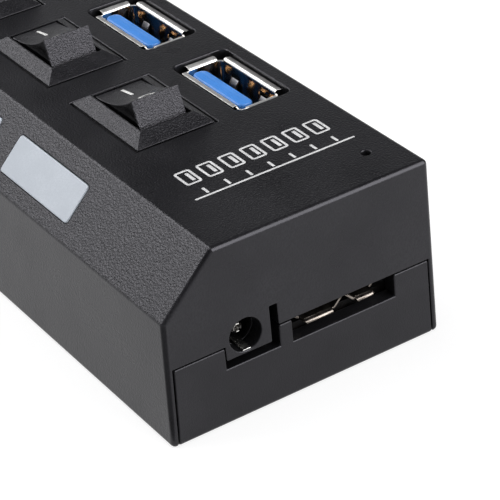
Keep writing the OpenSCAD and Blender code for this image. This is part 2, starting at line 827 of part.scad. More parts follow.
// Outline of the micro-B opening in Y and Z, grown outwards by the sheet
module micro_outline(grow) {
    half = micro_open_w / 2 + grow;
    low = -grow;
    high = micro_open_h + grow;
    web_a = micro_wide - micro_open_w / 2 + grow;
    web_b = web_a + micro_web - 2 * grow;
    cut = micro_chamfer;
    web_top = micro_open_h - micro_web_drop;
    polygon([
        [cut - half, low],
        [web_a - cut, low],
        [web_a, low + cut],
        [web_a, web_top - grow],
        [web_b, web_top - grow],
        [web_b, low + cut],
        [web_b + cut, low],
        [half - cut, low],
        [half, low + cut],
        [half, high],
        [-half, high],
        [-half, low + cut]
    ]);
}

module micro_b_shell() {
    color(plated) lifted() {
        translate([0, micro_y, micro_floor]) difference() {
            along_x(micro_x - micro_depth, micro_x) micro_outline(micro_sheet);
            along_x(micro_x - micro_depth - 1, micro_x + 1) micro_outline(0);
        }
        for (sy = [-1, 1])
            box(
                [micro_leg[0], micro_sheet, micro_floor + micro_chamfer - board_top + micro_sheet],
                [micro_x - micro_leg[1], micro_y + sy * (micro_open_w + micro_sheet) / 2, board_top]
            );
    }
}

// Spans of the two tongues across the opening, as [from, to]
micro_halves = [
    [micro_side[0] - micro_open_w / 2, micro_wide - micro_open_w / 2 - micro_side[0]],
    [micro_wide + micro_web - micro_open_w / 2 + micro_side[1], micro_open_w / 2 - micro_side[1]]
];

module micro_b_tongue() {
    back = micro_x - micro_depth + fit_gap;
    color([0.1, 0.1, 0.1]) lifted() translate([0, micro_y, 0]) {
        translate([0, 0, micro_floor]) intersection() {
            along_x(back, back + micro_block_l) micro_outline(-fit_gap);
            translate([back, -micro_open_w, fit_gap]) cube([micro_block_l, 2 * micro_open_w, micro_open_h]);
        }
        for (h = micro_halves)
            translate([back, h[0], micro_tongue_z])
                cube([micro_depth - fit_gap - micro_tip_drop, h[1] - h[0], micro_tongue_t]);
    }
}

// Five contacts under each tongue
module micro_b_contacts() {
    front = micro_x - micro_tip_drop - micro_contact_drop;
    back = micro_x - micro_depth + fit_gap + micro_block_l;
    color(gold) lifted() for (h = micro_halves, k = [0:4])
        translate([back, micro_y + h[0] + (k + 0.5) * (h[1] - h[0]) / 5, micro_tongue_z + micro_tongue_t])
            translate([0, -micro_contact[1] / 2, 0]) cube([front - back, micro_contact[1], micro_contact[0]]);
}

module dc_jack_body() {
    back = jack_face_x - jack_l;
    color([0.08, 0.08, 0.08]) lifted() difference() {
        translate([back, -jack_y - jack_w / 2, 0]) {
            translate([0, 0, jack_low]) cube([jack_l, jack_w, jack_face_h]);
            translate([0, 0, board_top]) cube([jack_l - jack_front_l, jack_w, jack_low - board_top + 1]);
        }
        jack_bore_hole(jack_bore_end, jack_face_x + 1);
        translate([back - 1, -jack_y, jack_h]) rotate([0, 90, 0])
            cylinder(d = jack_root_d, h = jack_l - jack_bore_depth + 2);
    }
}

module dc_jack_pin() {
    r = jack_pin_d / 2;
    round_x = end_x - jack_pin_drop - r;
    color(plated) lifted() translate([0, -jack_y, jack_h]) rotate([0, 90, 0]) {
        translate([0, 0, jack_face_x - jack_l]) cylinder(d = jack_root_d, h = jack_l - jack_bore_depth);
        translate([0, 0, jack_bore_end - eps]) cylinder(r = r, h = round_x - jack_bore_end + eps);
        translate([0, 0, round_x]) sphere(r);
    }
}

// Flat spring along the floor of the bore
module dc_jack_spring() {
    floor = jack_h - sqrt(pow(jack_bore / 2, 2) - pow(jack_spring_w / 2, 2));
    color(plated) lifted() translate([jack_bore_end, -jack_y - jack_spring_w / 2, floor])
        cube([end_x - jack_spring_drop - jack_bore_end, jack_spring_w, jack_spring_t]);
}

top_shell();
bottom_cover();
cover_screws();
rubber_feet();
main_pcb();
hub_chips();
capacitors();
usb_contacts();
switch_terminals();
led_windows();
port_leds();
power_led();
micro_b_shell();
micro_b_tongue();
micro_b_contacts();
dc_jack_body();
dc_jack_pin();
dc_jack_spring();
for (i = [1:unit_count]) {
    usb_shell(i);
    usb_tongue(i);
    switch_body(i);
    rocker(i);
    plunger(i);
    contact_lever(i);
}
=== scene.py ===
import bmesh
import bpy
import numpy as np
from mathutils import Matrix, Vector


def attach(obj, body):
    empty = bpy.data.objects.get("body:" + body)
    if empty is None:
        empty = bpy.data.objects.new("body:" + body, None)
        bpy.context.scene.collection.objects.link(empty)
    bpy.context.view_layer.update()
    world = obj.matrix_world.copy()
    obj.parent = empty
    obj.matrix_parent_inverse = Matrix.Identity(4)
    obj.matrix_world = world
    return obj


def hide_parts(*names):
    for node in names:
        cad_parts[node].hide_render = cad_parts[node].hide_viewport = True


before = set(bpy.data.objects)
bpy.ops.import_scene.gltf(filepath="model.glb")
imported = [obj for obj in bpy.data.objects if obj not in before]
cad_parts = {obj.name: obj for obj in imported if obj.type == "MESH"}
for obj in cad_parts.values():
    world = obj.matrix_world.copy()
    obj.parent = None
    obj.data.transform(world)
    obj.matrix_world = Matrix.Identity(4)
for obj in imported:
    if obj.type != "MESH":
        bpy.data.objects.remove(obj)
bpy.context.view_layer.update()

# The viewpoint: a long lens a little above the connector end, with the nearest two ports in view.
# Its three axes and its place were worked out from the edges of the case in the photograph.
scene = bpy.context.scene
scene.view_settings.view_transform = "Standard"
lens = bpy.data.cameras.new("camera")
lens.sensor_width = 36.0
lens.lens = 161.54
lens.clip_start = 0.02
lens.clip_end = 50.0
camera = bpy.data.objects.new("camera", lens)
camera.matrix_world = Matrix((
    (0.54393, -0.40160, 0.73679, 0.26292),
    (0.83474, 0.34868, -0.42618, -0.10835),
    (-0.08575, 0.84684, 0.52489, 0.14699),
    (0.0, 0.0, 0.0, 1.0),
))
scene.collection.objects.link(camera)
scene.camera = camera

# The studio: a white table top under the hub, three soft boxes in a dim room and a dark card by the near
# corner that only reflections show. The table looks white and still darkens where the hub shades it.
table_reach = 8.0
hub_middle = Vector((0.055, 0.0, 0.018))


def flat_quad(name, corners):
    """Lays one flat four-sided face through its corners, in metres."""
    mesh = bpy.data.meshes.new(name)
    mesh.from_pydata(corners, [], [(0, 1, 2, 3)])
    quad = bpy.data.objects.new(name, mesh)
    scene.collection.objects.link(quad)
    return quad


def reckon(tree, operation, *values):
    """Adds a math node that works on the given sockets, and gives the socket of its result."""
    node = tree.nodes.new("ShaderNodeMath")
    node.operation = operation
    for value, socket in zip(values, node.inputs):
        tree.links.new(value, socket)
    return node.outputs[0]


def softbox(name, toward, distance, width, depth, radiance):
    """Hangs a flat lamp that faces the hub from a direction: power = pi x area x radiance."""
    data = bpy.data.lights.new(name, "AREA")
    data.shape = "RECTANGLE"
    data.size = width
    data.size_y = depth
    data.energy = np.pi * width * depth * radiance
    lamp = bpy.data.objects.new(name, data)
    outward = Vector(toward).normalized()
    lamp.location = hub_middle + outward * distance
    lamp.rotation_euler = outward.to_track_quat("Z", "Y").to_euler()
    lamp.visible_camera = False
    scene.collection.objects.link(lamp)


table_top = flat_quad(
    "table_top",
    [(x * table_reach, y * table_reach, 0.0) for x, y in ((-1, -1), (1, -1), (1, 1), (-1, 1))],
)

table_paint = bpy.data.materials.new("table_paint")
table_paint.use_nodes = True
tree = table_paint.node_tree
tree.nodes.clear()
rays = tree.nodes.new("ShaderNodeLightPath")
seen_or_mirrored = reckon(tree, "MAXIMUM", rays.outputs["Is Camera Ray"], rays.outputs["Is Glossy Ray"])
looked_at = reckon(tree, "MAXIMUM", seen_or_mirrored, rays.outputs["Is Transmission Ray"])
matt = tree.nodes.new("ShaderNodeBsdfDiffuse")
matt.inputs["Color"].default_value = (0.80, 0.80, 0.80, 1.0)
shaded = tree.nodes.new("ShaderNodeBsdfDiffuse")
shaded.inputs["Color"].default_value = (0.34, 0.34, 0.34, 1.0)
glow = tree.nodes.new("ShaderNodeEmission")
glow.inputs["Color"].default_value = (1.0, 1.0, 1.0, 1.0)
glow_level = tree.nodes.new("ShaderNodeMapRange")
glow_level.inputs["To Min"].default_value = 0.50
glow_level.inputs["To Max"].default_value = 0.72
tree.links.new(rays.outputs["Is Camera Ray"], glow_level.inputs["Value"])
tree.links.new(glow_level.outputs[0], glow.inputs["Strength"])
white = tree.nodes.new("ShaderNodeAddShader")
tree.links.new(shaded.outputs[0], white.inputs[0])
tree.links.new(glow.outputs[0], white.inputs[1])
either = tree.nodes.new("ShaderNodeMixShader")
tree.links.new(looked_at, either.inputs[0])
tree.links.new(matt.outputs[0], either.inputs[1])
tree.links.new(white.outputs[0], either.inputs[2])
surface = tree.nodes.new("ShaderNodeOutputMaterial")
tree.links.new(either.outputs[0], surface.inputs["Surface"])
table_top.data.materials.append(table_paint)

room = bpy.data.worlds.new("room")
scene.world = room
room.use_nodes = True
tree = room.node_tree
direction = tree.nodes.new("ShaderNodeTexCoord")
height = tree.nodes.new("ShaderNodeSeparateXYZ")
tree.links.new(direction.outputs["Generated"], height.inputs[0])
fade = tree.nodes.new("ShaderNodeValToRGB")
fade.color_ramp.elements[0].position = 0.02
fade.color_ramp.elements[0].color = (0.86, 0.87, 0.88, 1.0)
fade.color_ramp.elements[1].position = 0.30
fade.color_ramp.elements[1].color = (0.115, 0.115, 0.125, 1.0)
tree.links.new(height.outputs["Z"], fade.inputs[0])
tree.links.new(fade.outputs[0], tree.nodes["Background"].inputs["Color"])

softbox("left_box", toward=(-0.66, -0.43, 0.64), distance=0.70, width=0.70, depth=0.43, radiance=4.3)
softbox("right_box", toward=(0.72, 0.48, 0.50), distance=0.70, width=0.58, depth=0.67, radiance=5.0)
softbox("top_box", toward=(-0.15, -0.25, 1.0), distance=0.80, width=0.60, depth=0.60, radiance=1.8)

card_z = 0.0002
dark_card = flat_quad(
    "dark_card",
    [(0.087, -0.0187, card_z), (-0.065, -0.20, card_z), (0.22, -0.20, card_z), (0.22, -0.0187, card_z)],
)
dark_card.visible_camera = False
dark_card.visible_diffuse = False
dark_card.visible_shadow = False
dark_card.visible_transmission = False
card_black = bpy.data.materials.new("card_black")
card_black.use_nodes = True
card_shader = card_black.node_tree.nodes["Principled BSDF"]
card_shader.inputs["Base Color"].default_value = (0.18, 0.18, 0.18, 1.0)
card_shader.inputs["Roughness"].default_value = 0.9
dark_card.data.materials.append(card_black)

# The base cover: a moulded plate with the lower half of both end walls, in the same grained black plastic
# as the top and notched for the two sockets. Its edges keep the small radius that the mould leaves.
MM = 0.001
case_round = 0.18
side_foot = 18.2
side_lean = 0.0335
skin_depth = 1.3
far_wall_out = 0.48
wall_rise = 21.15
underside_z = 0.61
rim_top = 1.25
rim_x = 80.0
rim_y = 15.0
underside_drop = 0.55
slot_edges = ((-4.1, 0.6), (-10.65, 0.1))
slot_x = 83.0
slot_foot = 7.0
slot_head = 13.0
slot_end = 13.5
slot_aside = 0.31
slot_lower = 0.20


def case_skin(spots):
    """Settles the case's outer skin, in millimetres: the underside and the rounding round it go down, sink
    floors apart; the far wall stands more upright, its y growing evenly with the height; and the slot
    beside the power jack moves a little aside and ends a little lower."""
    x, y, z = spots.T
    far_skin = y > side_foot - side_lean * z - skin_depth
    upright = far_wall_out * far_skin * np.clip((z - rim_top) / wall_rise, 0.0, 1.0)
    at_rim = (z < underside_z) | (np.abs(x) > rim_x) | (np.abs(y) > rim_y)
    drop = underside_drop * (at_rim & (z < rim_top))
    at_edge = np.any([np.abs(y - middle) < play for middle, play in slot_edges], axis=0)
    in_slot = at_edge & (x > slot_x) & (z > slot_foot) & (z < slot_end)
    lower = slot_lower * (in_slot & (z > slot_head))
    return np.column_stack([x, y + upright + slot_aside * in_slot, z - drop - lower])


def softened(node, name, radius, segments=2, angle=0.52, settle=None):
    """Copies a solid, joins its coincident corners, merges its flat faces and rounds every edge
    sharper than an angle to a radius, in millimetres. A function may settle its corners first."""
    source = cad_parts[node].data
    corners = np.empty(len(source.vertices) * 3)
    source.vertices.foreach_get("co", corners)
    used = np.empty(len(source.loops), dtype=np.int64)
    source.loops.foreach_get("vertex_index", used)
    corners = corners.reshape(-1, 3)
    if settle is not None:
        corners = settle(corners / MM) * MM
    _, first, merged = np.unique(
        np.round(corners / 2e-7).astype(np.int64), axis=0, return_index=True, return_inverse=True
    )
    triangles = merged.reshape(-1)[used].reshape(-1, 3)
    real = (triangles != np.roll(triangles, 1, axis=1)).all(axis=1)
    mesh = bpy.data.meshes.new(name)
    mesh.from_pydata(corners[first].tolist(), [], triangles[real].tolist())
    mesh.polygons.foreach_set("use_smooth", np.ones(len(mesh.polygons), dtype=bool))
    piece = bpy.data.objects.new(name, mesh)
    scene.collection.objects.link(piece)
    flat = piece.modifiers.new("flat", "DECIMATE")
    flat.decimate_type = "DISSOLVE"
    flat.angle_limit = 0.005
    flat.delimit = {"NORMAL"}
    rounding = piece.modifiers.new("rounding", "BEVEL")
    rounding.width = radius * MM
    rounding.segments = segments
    rounding.limit_method = "ANGLE"
    rounding.angle_limit = angle
    rounding.use_clamp_overlap = False
    rounding.loop_slide = False
    piece.modifiers.new("even", "WEIGHTED_NORMAL")
    return piece


def add_socket(group, name, way, value=None, kind="NodeSocketFloat"):
    """Gives a shader group one named number or direction to take in or put out."""
    socket = group.interface.new_socket(name=name, in_out=way, socket_type=kind)
    if value is not None:
        socket.default_value = value


grain_group = bpy.data.node_groups.new("moulded_grain", "ShaderNodeTree")
add_socket(grain_group, "Grain", "INPUT", 0.0002)
add_socket(grain_group, "Patch", "INPUT", 0.006)
add_socket(grain_group, "Height", "OUTPUT")
add_socket(grain_group, "Patches", "OUTPUT")
given = grain_group.nodes.new("NodeGroupInput")
result = grain_group.nodes.new("NodeGroupOutput")
place = grain_group.nodes.new("ShaderNodeTexCoord")
for kind, source, detail in (("Height", "Grain", 2.0), ("Patches", "Patch", 3.0)):
    scale = grain_group.nodes.new("ShaderNodeMath")
    scale.operation = "DIVIDE"
    scale.inputs[0].default_value = 1.0
    grain_group.links.new(given.outputs[source], scale.inputs[1])
    noise = grain_group.nodes.new("ShaderNodeTexNoise")
    noise.inputs["Detail"].default_value = detail
    grain_group.links.new(place.outputs["Object"], noise.inputs["Vector"])
    grain_group.links.new(scale.outputs[0], noise.inputs["Scale"])
    spread = grain_group.nodes.new("ShaderNodeMapRange")
    spread.inputs["From Min"].default_value = 0.28
    spread.inputs["From Max"].default_value = 0.72
    grain_group.links.new(noise.outputs["Fac"], spread.inputs["Value"])
    grain_group.links.new(spread.outputs[0], result.inputs[kind])


def grained(name, dark, light, grain, patch, depth, gloss, metal=0.0, index=1.5):
    """A finish with mould or plating grain: the grain group mixes two tones, spreads the roughness
    over a range and lifts the bump. Grain width, patch width and depth are in millimetres."""
    material = bpy.data.materials.new(name)
    material.use_nodes = True
    nodes = material.node_tree.nodes
    links = material.node_tree.links
    shader = nodes["Principled BSDF"]
    shader.inputs["Metallic"].default_value = metal
    shader.inputs["IOR"].default_value = index
    if not metal:
        shader.inputs["Specular Tint"].default_value = (0.93, 0.91, 1.0, 1.0)
    texture = nodes.new("ShaderNodeGroup")
    texture.node_tree = grain_group
    texture.inputs["Grain"].default_value = grain * MM
    texture.inputs["Patch"].default_value = patch * MM
    mottle = reckon(
        material.node_tree, "MULTIPLY", texture.outputs["Height"], texture.outputs["Patches"]
    )
    tone = nodes.new("ShaderNodeValToRGB")
    tone.color_ramp.elements[0].color = (*dark, 1.0)
    tone.color_ramp.elements[1].position = 0.6
    tone.color_ramp.elements[1].color = (*light, 1.0)
    links.new(mottle, tone.inputs[0])
    links.new(tone.outputs[0], shader.inputs["Base Color"])
    sheen = nodes.new("ShaderNodeMapRange")
    sheen.inputs["To Min"].default_value = gloss[0]
    sheen.inputs["To Max"].default_value = gloss[1]
    links.new(texture.outputs["Patches"], sheen.inputs["Value"])
    links.new(sheen.outputs[0], shader.inputs["Roughness"])
    bump = nodes.new("ShaderNodeBump")
    bump.inputs["Strength"].default_value = 1.0
    bump.inputs["Distance"].default_value = depth * MM
    links.new(texture.outputs["Height"], bump.inputs["Height"])
    links.new(bump.outputs[0], shader.inputs["Normal"])
    return material


def dress(piece, material, body, slot, *nodes):
    """Gives a piece its material and its body, and lets it stand for CAD nodes. The slot argument is not
    used.
    """
    piece.data.materials.clear()
    piece.data.materials.append(material)
    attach(piece, body)
    if nodes:
        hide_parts(*nodes)


panel_black = grained(
    "panel_black", dark=(0.004, 0.004, 0.0045), light=(0.009, 0.009, 0.010),
    grain=0.18, patch=6.0, depth=0.012, gloss=(0.30, 0.38), index=1.45,
)
base_cover = softened("bottom_cover", "base_cover", case_round, settle=case_skin)
dress(base_cover, panel_black, "case", "cover_plastic", "bottom_cover")

# Four round pads of black rubber under the corners of the base. They are die cut from sheet, with a soft
# lower edge, and stuck in shallow sinks.
pad_places = np.array([(sx * 74.0, sy * 10.2) for sx in (-1, 1) for sy in (-1, 1)])
pad_profile = np.array([
    (0.0, 0.0), (2.0, 0.0), (3.55, 0.0), (3.80, 0.05), (3.94, 0.18), (4.0, 0.4), (4.0, 1.0), (0.0, 1.0)
])


def skin(rings, capped=True):
    """Lays a skin of quads over a stack of closed loops: each quad joins two neighbours of one loop to the
    same two of the next. Loops run counterclockwise seen from the last, and flat caps close both ends."""
    rows, columns = rings.shape[:2]
    i, j = np.meshgrid(np.arange(rows - 1), np.arange(columns), indexing="ij")
    k = (j + 1) % columns
    low, high = i * columns, (i + 1) * columns
    faces = np.stack([low + j, low + k, high + k, high + j], axis=-1).reshape(-1, 4).tolist()
    if capped:
        faces.append(list(range(columns))[::-1])
        faces.append(list(range((rows - 1) * columns, rows * columns)))
    return rings.reshape(-1, 3), faces


def turned(profile, steps=48):
    """Turns a profile of radius and height about the Z axis: x = r cos a, y = r sin a, z = h."""
    turn = np.linspace(0.0, 2.0 * np.pi, steps, endpoint=False)
    radius = profile[:, 0, None]
    rings = np.stack([
        radius * np.cos(turn),
        radius * np.sin(turn),
        np.broadcast_to(profile[:, 1, None], (len(profile), steps)),
    ], axis=-1)
    return skin(rings, capped=False)


def joined(name, surfaces, sharp=0.7, sheet=0.0, inner=-1.0, edge=0.0):
    """Joins surfaces in millimetres into one piece, merges the points where seams and poles meet, and
    shades it smooth but for edges sharper than an angle. A sheet gets a thickness to one side of the
    surface, or to both, and an edge radius."""
    points = []
    faces = []
    start = 0
    for spots, loops in surfaces:
        points.append(np.asarray(spots).reshape(-1, 3))
        faces.extend([[start + k for k in loop] for loop in loops])
        start += len(points[-1])
    mesh = bpy.data.meshes.new(name)
    mesh.from_pydata((np.concatenate(points) * MM).tolist(), [], faces)
    work = bmesh.new()
    work.from_mesh(mesh)
    bmesh.ops.remove_doubles(work, verts=work.verts, dist=1e-7)
    work.to_mesh(mesh)
    work.free()
    mesh.polygons.foreach_set("use_smooth", np.ones(len(mesh.polygons), dtype=bool))
    mesh.set_sharp_from_angle(angle=sharp)
    piece = bpy.data.objects.new(name, mesh)
    scene.collection.objects.link(piece)
    if sheet:
        thick = piece.modifiers.new("sheet", "SOLIDIFY")
        thick.thickness = sheet * MM
        thick.offset = inner
    if edge:
        rounding = piece.modifiers.new("rounding", "BEVEL")
        rounding.width = edge * MM
        rounding.segments = 2
        rounding.limit_method = "ANGLE"
        rounding.angle_limit = 1.0
        rounding.use_clamp_overlap = False
    even = piece.modifiers.new("even", "WEIGHTED_NORMAL")
    even.keep_sharp = True
    return piece


pad_rubber = grained(
    "pad_rubber", dark=(0.012, 0.012, 0.012), light=(0.030, 0.030, 0.030),
    grain=0.30, patch=3.0, depth=0.02, gloss=(0.65, 0.85),
)
pad_spots, pad_faces = turned(pad_profile)
pads = joined("rubber_pads", [(pad_spots + (*spot, 0.0), pad_faces) for spot in pad_places])
dress(pads, pad_rubber, "case", "foot_rubber", "rubber_feet")

# The circuit board: glass fibre under black solder mask, which the copper tracks lift in fine lines.
# It lies on bosses of the base, the case screws go through it, and it carries all connectors and switches.
board_top = 7.6


def coat(material, *nodes):
    """Gives CAD nodes that keep their own mesh a finish."""
    for node in nodes:
        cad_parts[node].data.materials.clear()
        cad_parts[node].data.materials.append(material)


board_mask = grained(
    "board_mask", dark=(0.004, 0.0035, 0.003), light=(0.011, 0.010, 0.009),
    grain=0.9, patch=5.0, depth=0.03, gloss=(0.35, 0.50),
)
coat(board_mask, "main_pcb")

# The hub chips, which share one upstream line between the ports. They are moulded in black epoxy, with
# the dull face that the mould leaves, and soldered to the board.
chip_epoxy = grained(
    "chip_epoxy", dark=(0.010, 0.010, 0.011), light=(0.026, 0.026, 0.028),
    grain=0.12, patch=1.5, depth=0.01, gloss=(0.55, 0.70),
)
coat(chip_epoxy, "hub_chips")

# Electrolytic cans: drawn from bright aluminium, with a rolled neck above the base and a rounded top.
# They stand on the board, one between each two ports and two at the connector end.
port_count = 7
port_pitch = 21.2
can_profile = np.array([
    (0.0, 0.0), (2.45, 0.0), (2.5, 0.1), (2.5, 0.75), (2.38, 0.9), (2.32, 1.05), (2.38, 1.2), (2.5, 1.35),
    (2.5, 5.1), (2.44, 5.3), (2.25, 5.46), (1.9, 5.5), (0.0, 5.48)
])
can_places = [(43.95 - port_pitch * k, 1.5) for k in range(port_count - 1)] + [(72.0, -7.6), (72.0, 7.6)]
can_skin = grained(
    "can_skin", dark=(0.55, 0.56, 0.58), light=(0.78, 0.78, 0.80),
    grain=0.08, patch=2.0, depth=0.002, gloss=(0.22, 0.34), metal=1.0,
)
can_spots, can_faces = turned(can_profile)
cans = joined("capacitor_cans", [(can_spots + (x, y, board_top), can_faces) for x, y in can_places])
dress(cans, can_skin, "case", "can_aluminium", "capacitors")

# The micro-B socket: one strip of plated steel bent round the opening, with a fold between its two halves.
# The floor stands further out than the sides and the roof, and its lip steps down and rolls over. Two
# black tongues carry gold contacts.
micro_middle = 5.4
micro_floor = 8.2
micro_mouth = 85.2
micro_depth = 6.5
micro_corners = np.array([
    (-4.825, 0.2), (-0.725, 0.2), (0.375, 1.3), (0.375, 1.6), (1.075, 1.6), (1.075, 1.3),
    (2.175, 0.2), (4.825, 0.2), (6.125, 1.3), (6.125, 1.85), (-6.125, 1.85), (-6.125, 1.3),
])
micro_bend = 0.25
floor_edge = 0.21
floor_half = 4.7
roof_edge = 1.75
roof_back = 1.3
fold_back = 0.35
lip_runs = np.array([1.0, 0.45, 0.088, 0.082, 0.050, 0.032, 0.016, 0.0])
lip_drops = np.array([0.0, 0.0, 0.0, 0.038, 0.06, 0.10, 0.19, 0.38])


def bent_corners(corners, reach, steps):
    """Rounds each corner of a closed outline with a parabola: points (1-t)^2 A + 2t(1-t) B + t^2 C, with
    B the corner and A and C a reach away along its two sides, or 0.45 of a side where that is less."""
    before = np.roll(corners, 1, axis=0) - corners
    after = np.roll(corners, -1, axis=0) - corners
    back = np.linalg.norm(before, axis=1, keepdims=True)
    ahead = np.linalg.norm(after, axis=1, keepdims=True)
    a = corners + before / back * np.minimum(reach, 0.45 * back)
    c = corners + after / ahead * np.minimum(reach, 0.45 * ahead)
    t = np.linspace(0.0, 1.0, steps + 1)[None, :, None]
    bend = (1 - t) ** 2 * a[:, None] + 2 * t * (1 - t) * corners[:, None] + t ** 2 * c[:, None]
    return bend.reshape(-1, 2)


micro_y, micro_z = bent_corners(micro_corners, micro_bend, steps=4).T
set_back = np.select(
    [(np.abs(micro_y) > floor_half) | (micro_z > roof_edge), micro_z > floor_edge],
    [roof_back, fold_back],
    0.0,
)
micro_rings = np.stack([
    micro_mouth - set_back - lip_runs[:, None] * (micro_depth - set_back),
    np.broadcast_to(micro_middle + micro_y, (len(lip_runs), len(micro_y))),
    micro_floor + micro_z - lip_drops[:, None] * (micro_z < floor_edge),
], axis=-1)
micro_shell = joined("micro_b_sheet", [skin(micro_rings[:, ::-1], capped=False)], sheet=0.28, edge=0.05)
dull_plate = grained(
    "dull_plate", dark=(0.23, 0.20, 0.175), light=(0.38, 0.34, 0.305),
    grain=0.10, patch=0.8, depth=0.004, gloss=(0.26, 0.40), metal=1.0,
)
dress(micro_shell, dull_plate, "case", "socket_plate", "micro_b_shell")
tongue_resin = grained(
    "tongue_resin", dark=(0.005, 0.005, 0.005), light=(0.012, 0.012, 0.012),
    grain=0.10, patch=1.5, depth=0.004, gloss=(0.40, 0.55),
)
micro_tongue = softened("micro_b_tongue", "micro_b_insulator", radius=0.05)
dress(micro_tongue, tongue_resin, "case", "micro_resin", "micro_b_tongue")
contact_gold = grained(
    "contact_gold", dark=(0.48, 0.24, 0.10), light=(0.70, 0.40, 0.19),
    grain=0.06, patch=0.8, depth=0.001, gloss=(0.18, 0.30), metal=1.0,
)
coat(contact_gold, "micro_b_contacts")

# The power jack: a black moulded block behind the tab of the case, with a turned centre pin, hollow and
# slit crosswise at its end, and a flat spring of plated bronze that presses on the plug from below.
jack_y = -7.6
jack_z = 10.7
pin_profile = np.array([
    (0.0, 77.9), (1.125, 77.9), (1.125, 79.4), (0.825, 79.4), (0.825, 83.35), (0.79, 83.55), (0.70, 83.76),
    (0.70, 83.95), (0.66, 84.14), (0.56, 84.27), (0.46, 84.30), (0.37, 84.24), (0.31, 84.05), (0.28, 83.6),
    (0.0, 83.5)
])
pin_cut_floor = 83.8
pin_cut_share = 0.35
spring_root = 79.4
spring_reach = 6.5
spring_z = 8.73
spring_rise = 0.16
spring_width = 1.05


def strip(path, across, bulge, steps=5):
    """Carries a straight or slightly crowned line of a width along a path: point = path + s across +
    bulge (1 - (2s)^2), with s from -1/2 to 1/2."""
    s = np.linspace(-0.5, 0.5, steps)[None, :, None]
    spots = path[:, None] + s * np.asarray(across) + (1.0 - 4.0 * s ** 2) * np.asarray(bulge)
    i, j = np.meshgrid(np.arange(len(path) - 1), np.arange(steps - 1), indexing="ij")
    k = i * steps + j
    faces = np.stack([k, k + 1, k + steps + 1, k + steps], axis=-1).reshape(-1, 4)
    return spots.reshape(-1, 3), faces.tolist()


jack_black = grained(
    "jack_black", dark=(0.004, 0.004, 0.004), light=(0.010, 0.010, 0.010),
    grain=0.12, patch=2.0, depth=0.004, gloss=(0.32, 0.42),
)
jack_block = softened("dc_jack_body", "jack_block", radius=0.1)
dress(jack_block, jack_black, "case", "jack_black", "dc_jack_body")
pin_spots, pin_faces = turned(pin_profile, steps=40)
pin_turn = np.arctan2(pin_spots[:, 1], pin_spots[:, 0])
in_cut = (np.abs(np.cos(2.0 * pin_turn)) < pin_cut_share) & (pin_spots[:, 2] > pin_cut_floor)
pin_spots[in_cut, 2] = pin_cut_floor
pin = joined("jack_pin", [(np.roll(pin_spots, 1, axis=1) + (0.0, jack_y, jack_z), pin_faces)])
pin_plate = grained(
    "pin_plate", dark=(0.26, 0.25, 0.24), light=(0.42, 0.41, 0.39),
    grain=0.14, patch=0.8, depth=0.006, gloss=(0.24, 0.40), metal=1.0,
)
dress(pin, pin_plate, "case", "jack_plate", "dc_jack_pin")
along = np.linspace(0.0, 1.0, 13)
spring_path = np.stack([
    spring_root + spring_reach * along,
    np.full(len(along), jack_y),
    spring_z + spring_rise * np.sin(np.pi * along) ** 2,
], axis=-1)
spring_strip = strip(spring_path, across=(0.0, spring_width, 0.0), bulge=(0.0, 0.0, 0.0), steps=3)
spring = joined("jack_spring", [spring_strip], sheet=0.15, inner=0.0, edge=0.03)
bright_plate = grained(
    "bright_plate", dark=(0.62, 0.61, 0.59), light=(0.82, 0.81, 0.79),
    grain=0.10, patch=1.2, depth=0.001, gloss=(0.22, 0.30), metal=1.0,
)
dress(spring, bright_plate, "case", "jack_plate", "dc_jack_spring")

# Seven upright Type-A sockets. Each shell is pressed from plated sheet: its rim is flared outwards in four
# separate lips, open at the corners, and two sprung fingers, rubbed dull by plugs, stand in from each
# long wall. The lists give the +X, +Y, -X and -Y sides in turn, then the corners.
unit_x = 54.55 - port_pitch * np.arange(port_count)
usb_y = 11.85
usb_half = np.array([6.25, 2.56])
usb_corner = 0.5
side_points = (17, 47, 17, 47)
corner_side = 4
rim_z = 22.7
flare_r = 0.45
flare_run = np.array([0.95, 0.45, 0.70, 0.45, 0.45])
lip_flat = np.array([0.10, 0.60, 0.42, 0.40, 0.20])
lip_droop = np.array([0.02, 0.15, 0.15, 0.02, 0.02])
finger_share = np.array([0.0, 1.0, 0.0, 0.45, 0.0])
finger_x = 3.25
finger_half = 0.76
finger_gap = 0.24
finger_foot = 15.4
finger_rubbed = 16.4
finger_tip = 20.8
finger_slot_top = 21.1
finger_z = [finger_foot, finger_rubbed, 17.5, 18.6, 19.4, 19.8, 20.0, 20.2, 20.5, finger_tip, 20.9]
finger_bow = [0.0, 0.06, 0.22, 0.40, 0.52, 0.55, 0.53, 0.45, 0.24, 0.0, 0.0]


def socket_loop():
    """Goes round the opening, counterclockwise from the +X side: four straight sides with evenly spaced
    points, joined by quarter circles. Gives each point, its outward direction and its side."""
    straight = usb_half - usb_corner
    sides = []
    for side, count in enumerate(side_points):
        along = np.linspace(-1.0, 1.0, count) * straight[1 - side % 2]
        out = np.full(count, usb_half[side % 2])
        angle = np.pi * 0.5 * side
        x = out * np.cos(angle) - along * np.sin(angle)
        y = out * np.sin(angle) + along * np.cos(angle)
        normal = np.broadcast_to((np.cos(angle), np.sin(angle)), (count, 2))
        sides.append((np.stack([x, y], axis=-1), normal, np.full(count, side)))
        middle = np.array([np.cos(angle) - np.sin(angle), np.sin(angle) + np.cos(angle)]) * straight
        bend = angle + np.linspace(0.0, np.pi / 2, 5)[1:-1]
        arc = np.stack([np.cos(bend), np.sin(bend)], axis=-1)
        sides.append((middle + usb_corner * arc, arc, np.full(len(bend), corner_side)))
    return [np.concatenate(part) for part in zip(*sides)]


